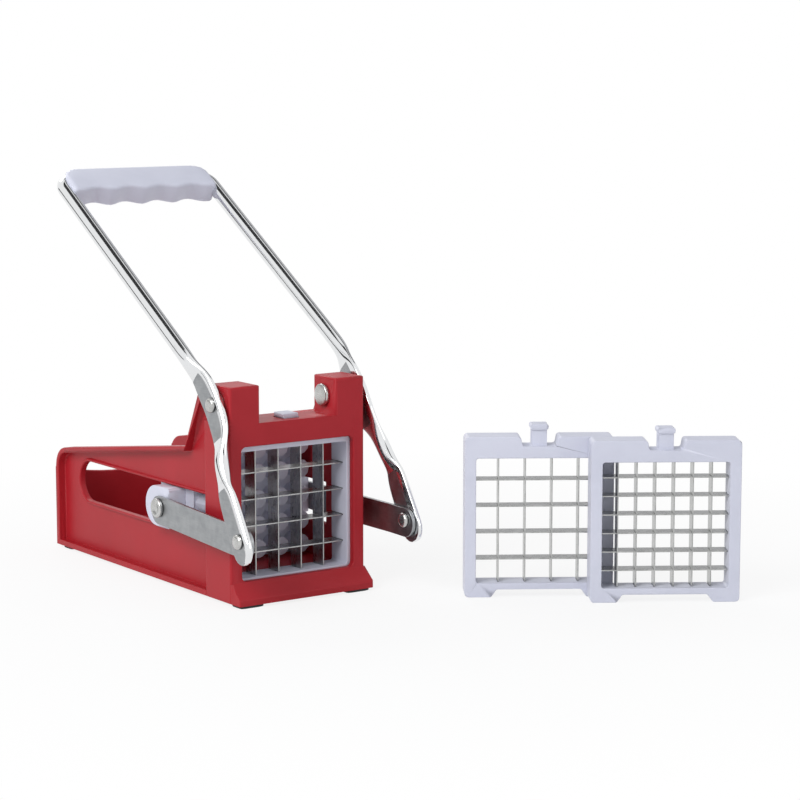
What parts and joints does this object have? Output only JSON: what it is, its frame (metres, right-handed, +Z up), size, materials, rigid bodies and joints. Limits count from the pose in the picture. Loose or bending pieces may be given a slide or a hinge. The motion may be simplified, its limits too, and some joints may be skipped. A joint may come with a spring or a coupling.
{
  "type": "vegetable dicer",
  "caption": "Hand-lever vegetable dicer: U lever and side links drive a pegged push block through a blade grid cassette; two spare cassettes stand beside it.",
  "frame": {"origin": "centre of the bounding box of the whole set, at the surface it stands on", "axes": "+Z up, -Y the cutting end with the blade window, +Y the loading end, +X across the body towards the spare cassettes"},
  "size_m": [0.2476, 0.3388, 0.2212],
  "materials": {
    "red_plastic": "moulded, satin gloss",
    "white_plastic": "moulded, satin, slightly cool white",
    "chrome": "bright plated tube",
    "zinc_steel": "satin plated strip",
    "rivet_steel": "turned and headed",
    "blade_steel": "ground strip",
    "rubber": "matt black"
  },
  "bodies": {
    "base": {"foot_front_left": "rubber", "foot_front_right": "rubber", "foot_rear_left": "rubber", "foot_rear_right": "rubber", "housing": "red_plastic", "pivot_rivet_left": "rivet_steel", "pivot_rivet_right": "rivet_steel", "pivot_washer_left": "rivet_steel", "pivot_washer_right": "rivet_steel", "spare_coarse_frame": "white_plastic", "spare_coarse_level_blade_1": "blade_steel", "spare_coarse_level_blade_2": "blade_steel", "spare_coarse_level_blade_3": "blade_steel", "spare_coarse_level_blade_4": "blade_steel", "spare_coarse_upright_blade_1": "blade_steel", "spare_coarse_upright_blade_2": "blade_steel", "spare_coarse_upright_blade_3": "blade_steel", "spare_coarse_upright_blade_4": "blade_steel", "spare_fine_frame": "white_plastic", "spare_fine_level_blade_1": "blade_steel", "spare_fine_level_blade_2": "blade_steel", "spare_fine_level_blade_3": "blade_steel", "spare_fine_level_blade_4": "blade_steel", "spare_fine_level_blade_5": "blade_steel", "spare_fine_level_blade_6": "blade_steel", "spare_fine_upright_blade_1": "blade_steel", "spare_fine_upright_blade_2": "blade_steel", "spare_fine_upright_blade_3": "blade_steel", "spare_fine_upright_blade_4": "blade_steel", "spare_fine_upright_blade_5": "blade_steel", "spare_fine_upright_blade_6": "blade_steel"},
    "lever": {"crank_rivet_head_left": "rivet_steel", "crank_rivet_head_right": "rivet_steel", "grip": "white_plastic", "lever_bar": "chrome"},
    "push_block": {"push_block": "white_plastic", "push_block_axle": "rivet_steel"},
    "links": {"crank_rivet_left": "rivet_steel", "crank_rivet_right": "rivet_steel", "link_left": "zinc_steel", "link_right": "zinc_steel"},
    "cassette": {"fitted_frame": "white_plastic", "fitted_level_blade_1": "blade_steel", "fitted_level_blade_2": "blade_steel", "fitted_level_blade_3": "blade_steel", "fitted_level_blade_4": "blade_steel", "fitted_upright_blade_1": "blade_steel", "fitted_upright_blade_2": "blade_steel", "fitted_upright_blade_3": "blade_steel", "fitted_upright_blade_4": "blade_steel"}
  },
  "joints": [
    {"name": "lever_swing", "type": "hinge", "parent": "base", "child": "lever", "pos_m": [-0.06775, -0.01563, 0.1055], "axis": [1, 0, 0], "range_deg": [-25.6, 70.9]},
    {"name": "push_slide", "type": "slide", "parent": "base", "child": "push_block", "axis": [0, 1, 0], "range_m": [-0.0316, 0.087]},
    {"name": "link_swing", "type": "hinge", "parent": "push_block", "child": "links", "pos_m": [-0.06775, 0.04037, 0.043], "axis": [1, 0, 0], "range_deg": [-14.1, 6.4]},
    {"name": "cassette_slide", "type": "slide", "parent": "base", "child": "cassette", "axis": [0, 0, -1], "range_m": [0, 0.09]}
  ],
  "couplings": [
    {"joint": "push_slide", "follows": "lever_swing", "m_per_rad": 0.07018},
    {"joint": "link_swing", "follows": "lever_swing", "ratio": -0.0676}
  ]
}
